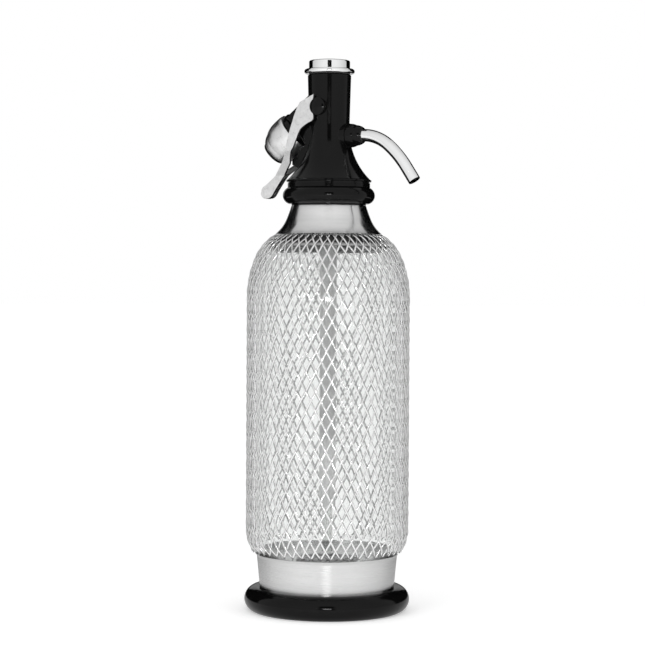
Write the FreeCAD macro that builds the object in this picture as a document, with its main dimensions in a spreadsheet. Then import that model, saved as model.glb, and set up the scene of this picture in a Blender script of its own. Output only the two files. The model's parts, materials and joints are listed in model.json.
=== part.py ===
import FreeCAD, Part
import math
import os
import re
import Sketcher

# A glass soda siphon in millimetres: +Z up, origin at the centre of the foot's underside,
# spout towards +X, charger cap and lever towards -X, lever pivot along Y.

# A size is a number, or text that works it out from other sizes.
SIZES = [
    # foot, base band and the seat under the bottle
    ("foot_overhang", 0.6),
    ("foot_radius", "mesh_radius + foot_overhang"),
    ("foot_flat_inset", 4.5),
    ("foot_flat_radius", "foot_radius - foot_flat_inset"),
    ("foot_lip_inset", 6.7),
    ("foot_lip_radius", "foot_radius - foot_lip_inset"),
    ("foot_height", 14.2),
    ("foot_floor", 3.0),
    ("band_inset", 2.5),
    ("band_low_radius", "foot_lip_radius - band_inset"),
    ("band_lean", 1.7),
    ("band_high_radius", "band_low_radius + band_lean"),
    ("band_length", 18.2),
    ("band_high_height", "foot_height + band_length"),
    ("band_flare", 0.7),
    ("band_flare_radius", "band_high_radius + band_flare"),
    ("band_flare_length", 1.6),
    ("band_flare_height", "band_high_height + band_flare_length"),
    ("band_wall", 0.8),
    ("snug_gap", 0.05),
    ("seat_inset", 4.4),
    ("seat_flange_radius", "band_low_radius - seat_inset"),
    ("seat_top_radius", 21.0),
    ("seat_wall", 3.0),
    ("pad_radius", 19.0),
    ("pad_thickness", 1.5),
    # wire mesh sleeve
    ("mesh_radius", 49.0),
    ("mesh_thickness", 1.4),
    ("mesh_lip_inset", 3.7),
    ("mesh_lip_radius", "mesh_radius - mesh_lip_inset"),
    ("mesh_lip_gap", 1.4),
    ("mesh_lip_height", "band_flare_height + mesh_lip_gap"),
    ("mesh_lip_bulge", 0.9),
    ("mesh_lip_length", 12.6),
    ("wall_low", "mesh_lip_height + mesh_lip_length"),
    ("wall_length", 140.0),
    ("wall_high", "wall_low + wall_length"),
    ("shoulder_inset", 5.5),
    ("shoulder_rise", 25.0),
    ("shoulder_height", "wall_high + shoulder_rise"),
    ("shoulder_lean", 31.0),
    ("shoulder_low_bulge", 1.37),
    ("shoulder_high_bulge", 1.28),
    ("shoulder_width", 17.0),
    ("shoulder_top_radius", "mesh_radius - shoulder_width"),
    ("shoulder_top_rise", 12.5),
    ("shoulder_top_height", "shoulder_height + shoulder_top_rise"),
    ("shoulder_top_lean", 48.0),
    # glass bottle
    ("glass_gap", 0.3),
    ("glass_wall", 4.0),
    ("heel_radius", 25.0),
    ("heel_rise", 2.0),
    ("heel_height", "wall_low + heel_rise"),
    ("liner_room", 1.4),
    ("liner_wall", 0.9),
    ("liner_width", 7.2),
    ("liner_bulge", 0.35),
    ("liner_drop", 7.5),
    ("neck_radius", 18.0),
    ("neck_base_rise", 1.4),
    ("neck_base_height", "collar_waist_height + neck_base_rise"),
    ("neck_base_hollow", 1.8),
    ("neck_lip_length", 1.6),
    ("neck_top_height", "thread_top_height + neck_lip_length"),
    ("rim_bevel", 0.6),
    # steel neck collar and the thread ring inside it
    ("collar_foot_inset", 0.2),
    ("collar_foot_radius", "shoulder_top_radius - collar_foot_inset"),
    ("collar_foot_gap", 0.1),
    ("collar_foot_height", "shoulder_top_height + collar_foot_gap"),
    ("collar_lean", 2.8),
    ("collar_waist_radius", "collar_top_radius + collar_lean"),
    ("collar_flare_length", 9.0),
    ("collar_waist_height", "collar_foot_height + collar_flare_length"),
    ("collar_room", 4.4),
    ("collar_top_radius", "neck_radius + collar_room"),
    ("collar_neck_length", 7.8),
    ("collar_top_height", "collar_waist_height + collar_neck_length"),
    ("collar_wall", 0.9),
    ("collar_hollow", 0.71),
    ("collar_upper_hollow", 0.11),
    ("ring_base_rise", 2.0),
    ("ring_base_height", "neck_base_height + ring_base_rise"),
    ("thread_wall", 2.5),
    ("thread_radius", "neck_radius + thread_wall"),
    ("thread_length", 13.6),
    ("thread_top_height", "collar_top_height + thread_length"),
    # head casing
    ("part_gap", 0.3),
    ("head_foot_inset", 0.1),
    ("head_foot_radius", "collar_top_radius - head_foot_inset"),
    ("head_bulge_reach", 5.3),
    ("head_bulge_radius", "head_foot_radius + head_bulge_reach"),
    ("head_foot_length", 1.2),
    ("head_bulge_low", "collar_top_height + head_foot_length"),
    ("head_bulge_length", 9.8),
    ("head_bulge_high", "head_bulge_low + head_bulge_length"),
    ("head_bulge_step", 1.8),
    ("head_bulge_edge", "head_foot_radius + head_bulge_step"),
    ("head_ring_step", 0.6),
    ("head_ring_radius", "head_bulge_edge + head_ring_step"),
    ("head_ring_length", 2.5),
    ("head_ring_high", "head_bulge_high + head_ring_length"),
    ("head_groove_step", 0.1),
    ("head_groove_radius", "head_bulge_edge + head_groove_step"),
    ("head_groove_length", 0.7),
    ("head_lip_low", "head_ring_high + head_groove_length"),
    ("head_lip_reach", 3.2),
    ("head_lip_radius", "head_foot_radius + head_lip_reach"),
    ("head_lip_length", 1.4),
    ("head_lip_high", "head_lip_low + head_lip_length"),
    ("edge_round", 0.35),
    ("flare_hollow", 2.2),
    ("flare_length", 24.0),
    ("waist_radius", 12.6),
    ("waist_height", "head_lip_high + flare_length"),
    ("waist_length", 9.0),
    ("column_radius", 12.2),
    ("column_height", "waist_height + waist_length"),
    ("column_top_radius", 13.0),
    ("column_length", 29.8),
    ("head_top_height", "column_height + column_length"),
    ("bore_radius", 9.3),
    ("gasket_thickness", 1.3),
    ("skirt_depth", "neck_top_height + gasket_thickness"),
    ("flange_pocket_radius", 15.5),
    ("flange_pocket_length", 3.1),
    ("flange_top_height", "skirt_depth + flange_pocket_length"),
    ("housing_half_width", 10.5),
    ("housing_round", 2.0),
    ("housing_foot_rise", 2.3),
    ("housing_foot_height", "flange_top_height + housing_foot_rise"),
    ("housing_heel_back", 16.5),
    ("fin_half_width", 5.5),
    ("fin_back", 22.4),
    ("fin_foot_rise", 3.0),
    ("fin_foot_height", "housing_foot_height + fin_foot_rise"),
    ("inlet_side", 7.3),
    # lever pivot
    ("pivot_rise", 10.0),
    ("pivot_height", "column_height + pivot_rise"),
    ("shaft_radius", 2.5),
    ("running_gap", 0.05),
    ("bush_wall", 1.05),
    ("bush_flange_radius", 4.6),
    ("bush_flange", 0.5),
    ("pivot_boss_radius", 5.2),
    ("pivot_boss_reach", 12.6),
    ("pivot_cap_radius", 4.4),
    ("pivot_cap_height", 1.3),
    # charger inlet, along its own axis from the back of the black collar
    ("inlet_tilt", 39.4),
    ("inlet_back", 20.2),
    ("inlet_drop", 11.3),
    ("inlet_height", "pivot_height - inlet_drop"),
    ("inlet_collar_radius", 11.2),
    ("inlet_collar", 2.9),
    ("nipple_radius", 7.0),
    ("nipple_end", 10.4),
    ("nipple_root_radius", 5.5),
    ("nipple_root", 6.0),
    ("nipple_pocket_radius", 4.2),
    ("nipple_pocket_floor", 4.0),
    ("pin_radius", 0.9),
    ("pin_length", 4.5),
    ("pin_plate", 1.0),
    ("charger_seal", 1.6),
    ("gas_bore_radius", 1.3),
    ("gas_bore_reach", 10.0),
    ("gas_bore_back", 13.2),
    ("check_ball_radius", 1.8),
    ("check_chamber_radius", 2.1),
    ("cap_mouth_radius", 12.4),
    ("cap_radius", 12.9),
    ("cap_bulge_start", 6.0),
    ("cap_bulge_end", 12.0),
    ("cap_shoulder_radius", 11.0),
    ("cap_shoulder", 18.0),
    ("cap_rim_radius", 8.6),
    ("cap_rim", 22.2),
    ("cap_wall", 1.6),
    ("cap_disc_radius", 7.9),
    ("cap_end", 24.0),
    ("cap_disc_stub_radius", 4.0),
    # spout
    ("spout_rise", 2.0),
    ("spout_height", "waist_height + spout_rise"),
    ("spout_tube_radius", 3.7),
    ("spout_tube_wall", 0.9),
    ("spout_boss_radius", 7.3),
    ("spout_boss_reach", 14.0),
    ("spout_nut_radius", 7.0),
    ("spout_nut_mid_radius", 6.1),
    ("spout_nut_mouth_radius", 4.7),
    ("spout_nut_length", 9.4),
    ("spout_seal_radius", 5.0),
    ("spout_seal_depth", 1.8),
    ("spout_straight", 23.0),
    ("spout_bend_radius", 27.0),
    ("spout_bend_angle", 40.0),
    ("spout_sweep_radius", 65.0),
    ("spout_sweep_angle", 16.0),
    ("spout_end_run", 9.3),
    # valve, on the axis of the column
    ("insert_clearance", 0.1),
    ("insert_flange_radius", 15.2),
    ("spigot_radius", 4.2),
    ("spigot_length", 6.9),
    ("spigot_depth", "skirt_depth - spigot_length"),
    ("inlet_chamber_rise", 2.6),
    ("inlet_chamber_low", "flange_top_height + inlet_chamber_rise"),
    ("inlet_chamber_radius", 5.2),
    ("valve_seat_drop", 10.0),
    ("valve_seat_high", "spout_height - valve_seat_drop"),
    ("valve_seat_thickness", 3.0),
    ("valve_seat_low", "valve_seat_high - valve_seat_thickness"),
    ("valve_seat_radius", 6.3),
    ("valve_seat_hole", 3.0),
    ("upper_chamber_radius", 4.0),
    ("upper_chamber_rise", 2.8),
    ("upper_chamber_high", "spout_height + upper_chamber_rise"),
    ("spout_port_radius", 2.7),
    ("stem_seal_floor", 0.4),
    ("stem_seal_low", "upper_chamber_high + stem_seal_floor"),
    ("stem_seal_radius", 3.2),
    ("stem_seal_length", 1.8),
    ("insert_top_height", "stem_seal_low + stem_seal_length"),
    ("stem_guide_length", 2.0),
    ("stem_guide_top", "insert_top_height + stem_guide_length"),
    ("stem_radius", 1.6),
    ("stem_foot_rise", 1.8),
    ("stem_low", "inlet_chamber_low + stem_foot_rise"),
    ("stem_nut_radius", 3.2),
    ("stem_nut_length", 1.8),
    ("stem_nut_top", "stem_low + stem_nut_length"),
    ("valve_rubber_radius", 4.8),
    ("stem_head_drop", 4.2),
    ("stem_head_high", "pivot_height - stem_head_drop"),
    ("stem_head_length", 1.6),
    ("stem_head_low", "stem_head_high - stem_head_length"),
    ("stem_head_radius", 7.4),
    ("spring_radius", 4.2),
    ("spring_wire_radius", 0.4),
    ("spring_turns", 3),
    ("spring_end_gap", 0.05),
    ("cam_hub_radius", 3.8),
    ("cam_half_width", 3.5),
    ("cam_nose_reach", 5.5),
    ("cam_nose_drop", 2.8),
    ("cam_nose_radius", 1.1),
    # tubes that hang into the bottle
    ("riser_radius", 3.2),
    ("riser_wall", 0.8),
    ("riser_floor_gap", 5.0),
    ("riser_low", "heel_height - heel_radius + glass_wall + riser_floor_gap"),
    ("sheath_radius", 5.0),
    ("riser_foot_length", 28.0),
    ("sheath_low", "riser_low + riser_foot_length"),
    ("spacer_height", 4.0),
    # chrome top cap
    ("cap_seat_gap", 0.5),
    ("top_flange_radius", 14.5),
    ("top_flange_length", 2.7),
    ("top_flange_high", "head_top_height + cap_seat_gap + top_flange_length"),
    ("top_flange_round", 0.9),
    ("top_tier_radius", 12.3),
    ("top_tier_length", 4.8),
    ("top_tier_high", "top_flange_high + top_tier_length"),
    ("top_crown", 1.2),
    ("top_height", "top_tier_high + top_crown"),
    ("top_plug_radius", 9.0),
    ("top_plug_length", 8.8),
    ("top_plug_low", "head_top_height - top_plug_length"),
    ("top_plug_wall", 2.0),
    ("top_seal_inner_radius", 9.6),
    # lever, from its pivot
    ("lever_reach", 46.0),
    ("arm_outer", 14.8),
    ("arm_sheet", 1.4),
    ("bite_radius", 5.1),
    ("bite_angle", 55.4),
    ("pinch_start", 25.8),
    ("pinch_end", 40.0),
    ("pinch_outer", 2.65),
]

document = FreeCAD.newDocument("soda_siphon")
sheet = document.addObject("Spreadsheet::Sheet", "Sizes")
for row, (name, size) in enumerate(SIZES, 1):
    sheet.set("A%d" % row, name)
    sheet.setAlias("B%d" % row, name)
for row, (name, size) in enumerate(SIZES, 1):
    sheet.set("B%d" % row, "=" + size if isinstance(size, str) else str(size))
document.recompute()
NAMES = {name for name, size in SIZES}
nodes = []


def bound(text):
    """Point each size named in an expression at its cell in the sheet."""
    return re.sub(r"[a-z_]+", lambda word: "Sizes." + word[0] if word[0] in NAMES else word[0], str(text))


def value(text):
    """Work an expression out from the sheet."""
    return float(sheet.evalExpression(bound(text)))


def bind(thing, **sizes):
    """Tie properties of an object to expressions of the sheet."""
    for name, text in sizes.items():
        thing.setExpression(name, bound(text))
    return thing


def place(thing, x=0, y=0, z=0, axis=(0, 0, 1), angle="0"):
    """Put an object at a point, turned about an axis, all tied to the sheet."""
    spot = FreeCAD.Vector(value(x), value(y), value(z))
    thing.Placement = FreeCAD.Placement(spot, FreeCAD.Rotation(FreeCAD.Vector(*axis), value(angle)))
    for letter, text in (("x", x), ("y", y), ("z", z)):
        thing.setExpression("Placement.Base." + letter, bound(text))
    if value(angle):
        thing.setExpression("Placement.Rotation.Angle", bound(angle))
    return thing


def along_inlet(thing):
    """Lay an object's Z axis along the charger inlet, which points back and down."""
    return place(thing, x="-inlet_back", z="inlet_height", axis=(0, -1, 0), angle="90 + inlet_tilt")


def along_spout(thing, start="0"):
    """Lay an object's Z axis along the spout's root, which points forward."""
    return place(thing, x=start, z="spout_height", axis=(0, 1, 0), angle="90")


def node(thing, label):
    """Name a finished sub-part."""
    thing.Label = label
    nodes.append(thing)
    return thing


def draw(sketch, corners, closed=True):
    """Draw an outline, or an open path, with its corners tied to the sheet.

    A corner is (across, up) or (across, up, bulge). With a bulge the edge that comes to the
    corner is an arc, and the bulge is its height over the chord, to the right of the way round.
    """
    spots = [FreeCAD.Vector(value(corner[0]), value(corner[1]), 0) for corner in corners]
    edges = []
    rules = []
    ties = []
    for index in range(0 if closed else 1, len(corners)):
        start = spots[index - 1]
        end = spots[index]
        last = corners[index - 1]
        corner = corners[index]
        if len(corner) == 2:
            edges.append((sketch.addGeometry(Part.LineSegment(start, end)), 1, 2, index))
            continue
        side = FreeCAD.Vector(end.y - start.y, start.x - end.x, 0).normalize()
        bulge = value(corner[2])
        half_chord = (end - start).Length / 2
        radius = (half_chord ** 2 + bulge ** 2) / (2 * abs(bulge))
        centre = (start + end) / 2 + side * (bulge - math.copysign(radius, bulge))
        angles = [math.atan2(spot.y - centre.y, spot.x - centre.x) for spot in (start, end)]
        if bulge < 0:
            angles.reverse()
        circle = Part.Circle(centre, FreeCAD.Vector(0, 0, 1), radius)
        edge = sketch.addGeometry(Part.ArcOfCircle(circle, angles[0], angles[1]))
        edges.append((edge, 1, 2, index) if bulge > 0 else (edge, 2, 1, index))
        chord = "((%s) - (%s))^2 + ((%s) - (%s))^2" % (corner[0], last[0], corner[1], last[1])
        rules.append(Sketcher.Constraint("Radius", edge, radius))
        ties.append("(%s) / (8 * abs(%s)) + abs(%s) / 2" % (chord, corner[2], corner[2]))
    points = [(edge, there, index) for edge, here, there, index in edges]
    if not closed:
        points.append((edges[0][0], edges[0][1], 0))
    for edge, point, index in points:
        for kind, part in (("DistanceX", 0), ("DistanceY", 1)):
            rules.append(Sketcher.Constraint(kind, -1, 1, edge, point, spots[index][part]))
            ties.append(corners[index][part])
    for before, after in zip(edges, edges[1:] + (edges[:1] if closed else [])):
        rules.append(Sketcher.Constraint("Coincident", before[0], before[2], after[0], after[1]))
        ties.append(None)
    count = sketch.ConstraintCount
    sketch.addConstraint(rules)
    for index, tie in enumerate(ties):
        if tie is not None:
            sketch.setExpression("Constraints[%d]" % (count + index), bound(tie))


def sketch_on(body, role, *outlines):
    """Make a sketch on one of a body's own origin planes."""
    sketch = body.newObject("Sketcher::SketchObject", body.Name + "_sketch")
    flat = [feature for feature in body.Origin.OriginFeatures if feature.Role == role][0]
    sketch.AttachmentSupport = (flat, [""])
    sketch.MapMode = "FlatFace"
    for corners in outlines:
        draw(sketch, corners)
    return sketch


def turned(name, *corners):
    """A body turned about its Z axis from a half section."""
    body = document.addObject("PartDesign::Body", name)
    sketch = sketch_on(body, "XZ_Plane", corners)
    turn = body.newObject("PartDesign::Revolution", name + "_turn")
    turn.Profile = sketch
    turn.ReferenceAxis = (sketch, ["V_Axis"])
    turn.Angle = 360
    return body


def ring(name, inner, outer, low, high):
    """A turned tube or washer; with an inner radius of 0 it is a disc."""
    return turned(name, (inner, low), (outer, low), (outer, high), (inner, high))


def slab(name, role, width, corners):
    """A body padded the same way to both sides of an origin plane."""
    body = document.addObject("PartDesign::Body", name)
    sketch = sketch_on(body, role, corners)
    pad = body.newObject("PartDesign::Pad", name + "_pad")
    pad.Profile = sketch
    pad.Length = value(width)
    pad.SideType = "Symmetric"
    pad.setExpression("Length", bound(width))
    return body


def rod(name, radius, length, centred=False):
    """A plain cylinder, from its origin or across it."""
    cylinder = document.addObject("Part::Cylinder", name)
    bind(cylinder, Radius=radius, Height=length)
    if centred:
        place(cylinder, y="(%s) / 2" % length, axis=(1, 0, 0), angle="90")
    return cylinder


def fused(name, *shapes):
    """Several solids as one object."""
    union = document.addObject("Part::MultiFuse", name)
    union.Shapes = list(shapes)
    return union


def cut(name, base, *tools):
    """A base with tools taken away."""
    result = document.addObject("Part::Cut", name)
    result.Base = base
    result.Tool = tools[0] if len(tools) == 1 else fused(name + "_tools", *tools)
    return result


def common(name, base, tool):
    """What two solids share."""
    result = document.addObject("Part::Common", name)
    result.Base = base
    result.Tool = tool
    return result


def mirrored(name, source):
    """A source and its mirror image across the XZ plane, as two solids in one object."""
    mirror = document.addObject("Part::Mirroring", name + "_far")
    mirror.Source = source
    mirror.Normal = FreeCAD.Vector(0, 1, 0)
    pair = document.addObject("Part::Compound", name)
    pair.Links = [source, mirror]
    return pair


def dome(radius, height):
    """The bulge of the arc that closes a turned dome of a radius and a height on its axis."""
    chord = "((%s)^2 + (%s)^2)" % (radius, height)
    ball = "(%s / (2 * (%s)))" % (chord, height)
    return "%s - sqrt(%s^2 - %s / 4)" % (ball, ball, chord)


def sideways(thing, reach):
    """Lay an object's Z axis along +Y at the pivot, starting at a distance from the middle."""
    return place(thing, y=reach, z="pivot_height", axis=(-1, 0, 0), angle="90")


# Offsets along the leaning normals of the shoulder, inward by a named depth.
def shoulder_mid(depth):
    return ("mesh_radius - shoulder_inset - (%s) * cos(shoulder_lean)" % depth,
            "shoulder_height - (%s) * sin(shoulder_lean)" % depth)


def shoulder_top(depth):
    return ("shoulder_top_radius - (%s) * cos(shoulder_top_lean)" % depth,
            "shoulder_top_height - (%s) * sin(shoulder_top_lean)" % depth)


# Foot, base band and bottle seat
def make_base():
    foot_bulge = "foot_radius - (foot_flat_radius + foot_lip_radius) / 2"
    socket = "band_low_radius + snug_gap"
    node(turned("foot", ("0", "0"), ("foot_flat_radius", "0"), ("foot_lip_radius", "foot_height", foot_bulge),
                (socket, "foot_height"), (socket, "foot_floor"), ("0", "foot_floor")), "foot_ring")
    node(turned("band", ("band_low_radius", "foot_floor + snug_gap"), ("band_low_radius", "foot_height + snug_gap"),
                ("band_high_radius", "band_high_height"), ("band_flare_radius", "band_flare_height"),
                ("band_flare_radius - band_wall", "band_flare_height"),
                ("band_high_radius - band_wall", "band_high_height"),
                ("band_low_radius - band_wall", "foot_height + snug_gap"),
                ("band_low_radius - band_wall", "foot_floor + snug_gap")), "base_band")
    seat_top = "heel_height - heel_radius - pad_thickness"
    node(turned("seat", ("seat_top_radius - seat_wall", "foot_floor"), ("seat_flange_radius", "foot_floor"),
                ("seat_flange_radius", "foot_floor + seat_wall"), ("seat_top_radius", "foot_floor + seat_wall"),
                ("seat_top_radius", seat_top), ("0", seat_top), ("0", seat_top + " - seat_wall"),
                ("seat_top_radius - seat_wall", seat_top + " - seat_wall")), "bottle_seat")
    node(ring("pad", "0", "pad_radius", seat_top, "heel_height - heel_radius"), "base_pad")


# Wire mesh sleeve, as a thin shell in the space that the wires take
def make_mesh():
    wall = "mesh_thickness"
    node(turned("mesh", ("mesh_lip_radius", "mesh_lip_height"), ("mesh_radius", "wall_low", "mesh_lip_bulge"),
                ("mesh_radius", "wall_high"), shoulder_mid("0") + ("shoulder_low_bulge",),
                shoulder_top("0") + ("shoulder_high_bulge",), shoulder_top(wall),
                shoulder_mid(wall) + ("-shoulder_high_bulge",),
                ("mesh_radius - mesh_thickness", "wall_high", "-shoulder_low_bulge"),
                ("mesh_radius - mesh_thickness", "wall_low"),
                ("mesh_lip_radius - mesh_thickness", "mesh_lip_height", "-mesh_lip_bulge")), "mesh_sleeve")


# Glass bottle, with the thread ring on its neck, the liner on its shoulder and the steel collar
def make_bottle():
    radius = "mesh_radius - mesh_thickness - glass_gap"
    inside = radius + " - glass_wall"
    heel_bulge = "heel_radius * (1 - cos(45))"
    floor = "heel_height - heel_radius + glass_wall"
    inner_heel_bulge = "(heel_radius - glass_wall) * (1 - cos(45))"
    depth = "mesh_thickness + liner_room"
    node(turned("glass", ("0", "heel_height - heel_radius"),
                (radius + " - heel_radius", "heel_height - heel_radius"),
                (radius, "heel_height", heel_bulge), (radius, "wall_high"),
                shoulder_mid(depth) + ("shoulder_low_bulge",), shoulder_top(depth) + ("shoulder_high_bulge",),
                ("neck_radius", "neck_base_height", "-neck_base_hollow"),
                ("neck_radius", "neck_top_height - rim_bevel"), ("neck_radius - rim_bevel", "neck_top_height"),
                ("neck_radius - glass_wall + rim_bevel", "neck_top_height"),
                ("neck_radius - glass_wall", "neck_top_height - rim_bevel"),
                ("neck_radius - glass_wall", "neck_base_height - rim_bevel"),
                shoulder_top(depth + " + glass_wall") + ("neck_base_hollow",),
                shoulder_mid(depth + " + glass_wall") + ("-shoulder_high_bulge",),
                (inside, "wall_high", "-shoulder_low_bulge"), (inside, "heel_height"),
                (radius + " - heel_radius", floor, "-(" + inner_heel_bulge + ")"), ("0", floor)),
         "glass_bottle")

    near = "mesh_thickness + snug_gap"
    far = near + " + liner_wall"
    foot = ("shoulder_top_radius + liner_width - (%s) * cos(shoulder_lean)",
            "shoulder_top_height - liner_drop + mesh_thickness - (%s) * sin(shoulder_lean)")
    node(turned("liner", (foot[0] % near, foot[1] % near), shoulder_top(near) + ("liner_bulge",),
                shoulder_top(far), (foot[0] % far, foot[1] % far, "-liner_bulge")), "shoulder_ring")

    node(turned("collar", ("collar_foot_radius", "collar_foot_height"),
                ("collar_waist_radius", "collar_waist_height", "-collar_hollow"),
                ("collar_top_radius", "collar_top_height", "-collar_upper_hollow"),
                ("collar_top_radius - collar_wall", "collar_top_height"),
                ("collar_waist_radius - collar_wall", "collar_waist_height", "collar_upper_hollow"),
                ("collar_foot_radius - collar_wall", "collar_foot_height", "collar_hollow")), "neck_collar")

    land = "collar_top_radius - collar_wall - snug_gap"
    node(turned("thread", ("neck_radius", "ring_base_height"), (land, "ring_base_height"),
                (land, "collar_top_height - part_gap"), ("thread_radius", "collar_top_height"),
                ("thread_radius", "thread_top_height"), ("neck_radius", "thread_top_height")),
         "neck_thread_ring")


# Black head casing: turned column and skirt, rear housing, spout boss and pivot bosses
def make_head():
    bulge = "head_bulge_radius - head_bulge_edge"
    low = "collar_top_height + part_gap"
    shell = turned("head_shell", ("0", low), ("head_foot_radius", low), ("head_foot_radius", "head_bulge_low"),
                   ("head_bulge_edge", "head_bulge_low"), ("head_bulge_edge", "head_bulge_high", bulge),
                   ("head_ring_radius", "head_bulge_high"), ("head_ring_radius", "head_ring_high"),
                   ("head_groove_radius", "head_ring_high"), ("head_groove_radius", "head_lip_low"),
                   ("head_lip_radius - edge_round", "head_lip_low"),
                   ("head_lip_radius", "head_lip_low + edge_round"),
                   ("head_lip_radius", "head_lip_high - edge_round"),
                   ("head_lip_radius - edge_round * 2", "head_lip_high"),
                   ("waist_radius", "waist_height", "-flare_hollow"), ("column_radius", "column_height"),
                   ("column_top_radius", "head_top_height - edge_round * 2"),
                   ("column_top_radius - edge_round * 2", "head_top_height"), ("0", "head_top_height"))

    # The rear housing's upper side and back follow the inlet's axis.
    top_x = "-inlet_back - inlet_side * sin(inlet_tilt)"
    top_z = "inlet_height + inlet_side * cos(inlet_tilt)"
    clear = "(cap_radius + part_gap * 2)"
    shelf_x = "-inlet_back + %s * sin(inlet_tilt)" % clear
    shelf_z = "inlet_height - %s * cos(inlet_tilt)" % clear
    under_cap = shelf_z + " - (%%s + (%s)) * tan(inlet_tilt)" % shelf_x
    roof_z = "inlet_height + (inlet_back + inlet_side * sin(inlet_tilt)) * tan(inlet_tilt)" \
             " + inlet_side * cos(inlet_tilt)"
    housing = slab("housing", "XZ_Plane", "housing_half_width * 2",
                   [("0", "flange_top_height"), ("0", roof_z), (top_x, top_z), (shelf_x, shelf_z),
                    ("-housing_heel_back", under_cap % "housing_heel_back"),
                    ("-housing_heel_back", "housing_foot_height")])
    document.recompute()
    rims = [
        "Edge%d" % (index + 1)
        for index, edge in enumerate(housing.Shape.Edges)
        if abs(abs(edge.CenterOfMass.y) - value("housing_half_width")) < 0.01 and edge.CenterOfMass.x < -0.01
    ]
    pad = housing.Tip
    rounded = housing.newObject("PartDesign::Fillet", "housing_rounded")
    rounded.Base = (pad, rims)
    rounded.Radius = value("housing_round")
    rounded.setExpression("Radius", bound("housing_round"))
    housing.Tip = rounded

    fin = slab("fin", "XZ_Plane", "fin_half_width * 2",
               [("0", "housing_foot_height"), ("0", shelf_z), (shelf_x, shelf_z),
                ("-fin_back", under_cap % "fin_back"), ("-fin_back", "fin_foot_height"),
                ("-housing_heel_back", "housing_foot_height")])
    boss = along_spout(rod("spout_boss", "spout_boss_radius", "spout_boss_reach"))
    pivots = rod("pivot_bosses", "pivot_boss_radius", "pivot_boss_reach * 2")
    sideways(pivots, "-pivot_boss_reach")
    solid = fused("head_solid", shell, housing, fin, boss, pivots)

    skirt = "thread_radius + part_gap"
    bore = turned("head_bore", ("0", low + " - 1"), (skirt, low + " - 1"), (skirt, "skirt_depth"),
                  ("flange_pocket_radius", "skirt_depth"), ("flange_pocket_radius", "flange_top_height"),
                  ("bore_radius", "flange_top_height"), ("bore_radius", "head_top_height + 1"),
                  ("0", "head_top_height + 1"))
    shaft_way = rod("shaft_way", "shaft_radius + running_gap + bush_wall", "pivot_boss_reach * 2 + 2")
    sideways(shaft_way, "-pivot_boss_reach - 1")
    spout_way = along_spout(rod("spout_way", "spout_tube_radius", "spout_boss_reach + 1"))
    inlet_way = along_inlet(ring("inlet_way", "0", "nipple_root_radius", "-nipple_root", "1"))
    gas_way = along_inlet(ring("gas_way", "0", "gas_bore_radius", "-gas_bore_reach", "0"))
    gas_drop_top = "inlet_height + (inlet_back - gas_bore_back) * tan(inlet_tilt)"
    gas_drop = ring("gas_drop", "0", "gas_bore_radius", "0", gas_drop_top + " - skirt_depth + 1")
    place(gas_drop, x="-gas_bore_back", z="skirt_depth - 1")
    node(cut("head_cut", solid, bore, shaft_way, spout_way, inlet_way, gas_way, gas_drop), "head_body")

    bush_hole = "shaft_radius + running_gap"
    bush_tube = bush_hole + " + bush_wall"
    bush = turned("bush", (bush_hole, "bore_radius"), (bush_tube, "bore_radius"),
                  (bush_tube, "pivot_boss_reach"), ("bush_flange_radius", "pivot_boss_reach"),
                  ("bush_flange_radius", "pivot_boss_reach + bush_flange"),
                  (bush_hole, "pivot_boss_reach + bush_flange"))
    node(mirrored("bushes", sideways(bush, "0")), "pivot_bushes")


# Brass valve insert in the column, with its seat, seals and guide
def make_insert():
    outer = "bore_radius - insert_clearance"
    blank = turned("insert_blank", ("riser_radius", "spigot_depth"), ("spigot_radius", "spigot_depth"),
                   ("spigot_radius", "skirt_depth"), ("insert_flange_radius", "skirt_depth"),
                   ("insert_flange_radius", "flange_top_height - insert_clearance"),
                   (outer, "flange_top_height - insert_clearance"), (outer, "insert_top_height"),
                   ("stem_seal_radius", "insert_top_height"), ("stem_seal_radius", "stem_seal_low"),
                   ("stem_radius + part_gap", "stem_seal_low"), ("stem_radius + part_gap", "upper_chamber_high"),
                   ("upper_chamber_radius", "upper_chamber_high"), ("upper_chamber_radius", "valve_seat_high"),
                   ("valve_seat_radius", "valve_seat_high"), ("valve_seat_radius", "valve_seat_low"),
                   ("inlet_chamber_radius", "valve_seat_low"), ("inlet_chamber_radius", "inlet_chamber_low"),
                   ("riser_radius", "inlet_chamber_low"))
    port = along_spout(rod("spout_port", "spout_port_radius", "bore_radius + 1"))
    vent = rod("gas_vent", "gas_bore_radius", "flange_top_height - skirt_depth + 2")
    place(vent, x="-gas_bore_back", z="skirt_depth - 1")
    node(cut("insert_cut", blank, port, vent), "head_insert")
    node(ring("seat_ring", "valve_seat_hole", "valve_seat_radius", "valve_seat_low", "valve_seat_high"),
         "valve_seat")
    node(ring("stem_ring", "stem_radius + running_gap", "stem_seal_radius", "stem_seal_low",
              "insert_top_height"), "stem_seal")
    node(ring("guide", "stem_radius + running_gap", outer, "insert_top_height", "stem_guide_top"),
         "stem_guide")
    node(ring("gasket", "neck_radius - glass_wall", "neck_radius - snug_gap", "neck_top_height", "skirt_depth"),
         "head_gasket")


# Tubes that hang from the insert into the bottle
def make_tubes():
    node(ring("riser", "riser_radius - riser_wall", "riser_radius", "riser_low", "inlet_chamber_low"),
         "riser_tube")
    node(ring("sheath", "spigot_radius", "sheath_radius", "sheath_low", "skirt_depth"), "sheath_tube")
    node(ring("spacer", "riser_radius", "spigot_radius", "sheath_low", "sheath_low + spacer_height"),
         "tube_spacer")


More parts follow.
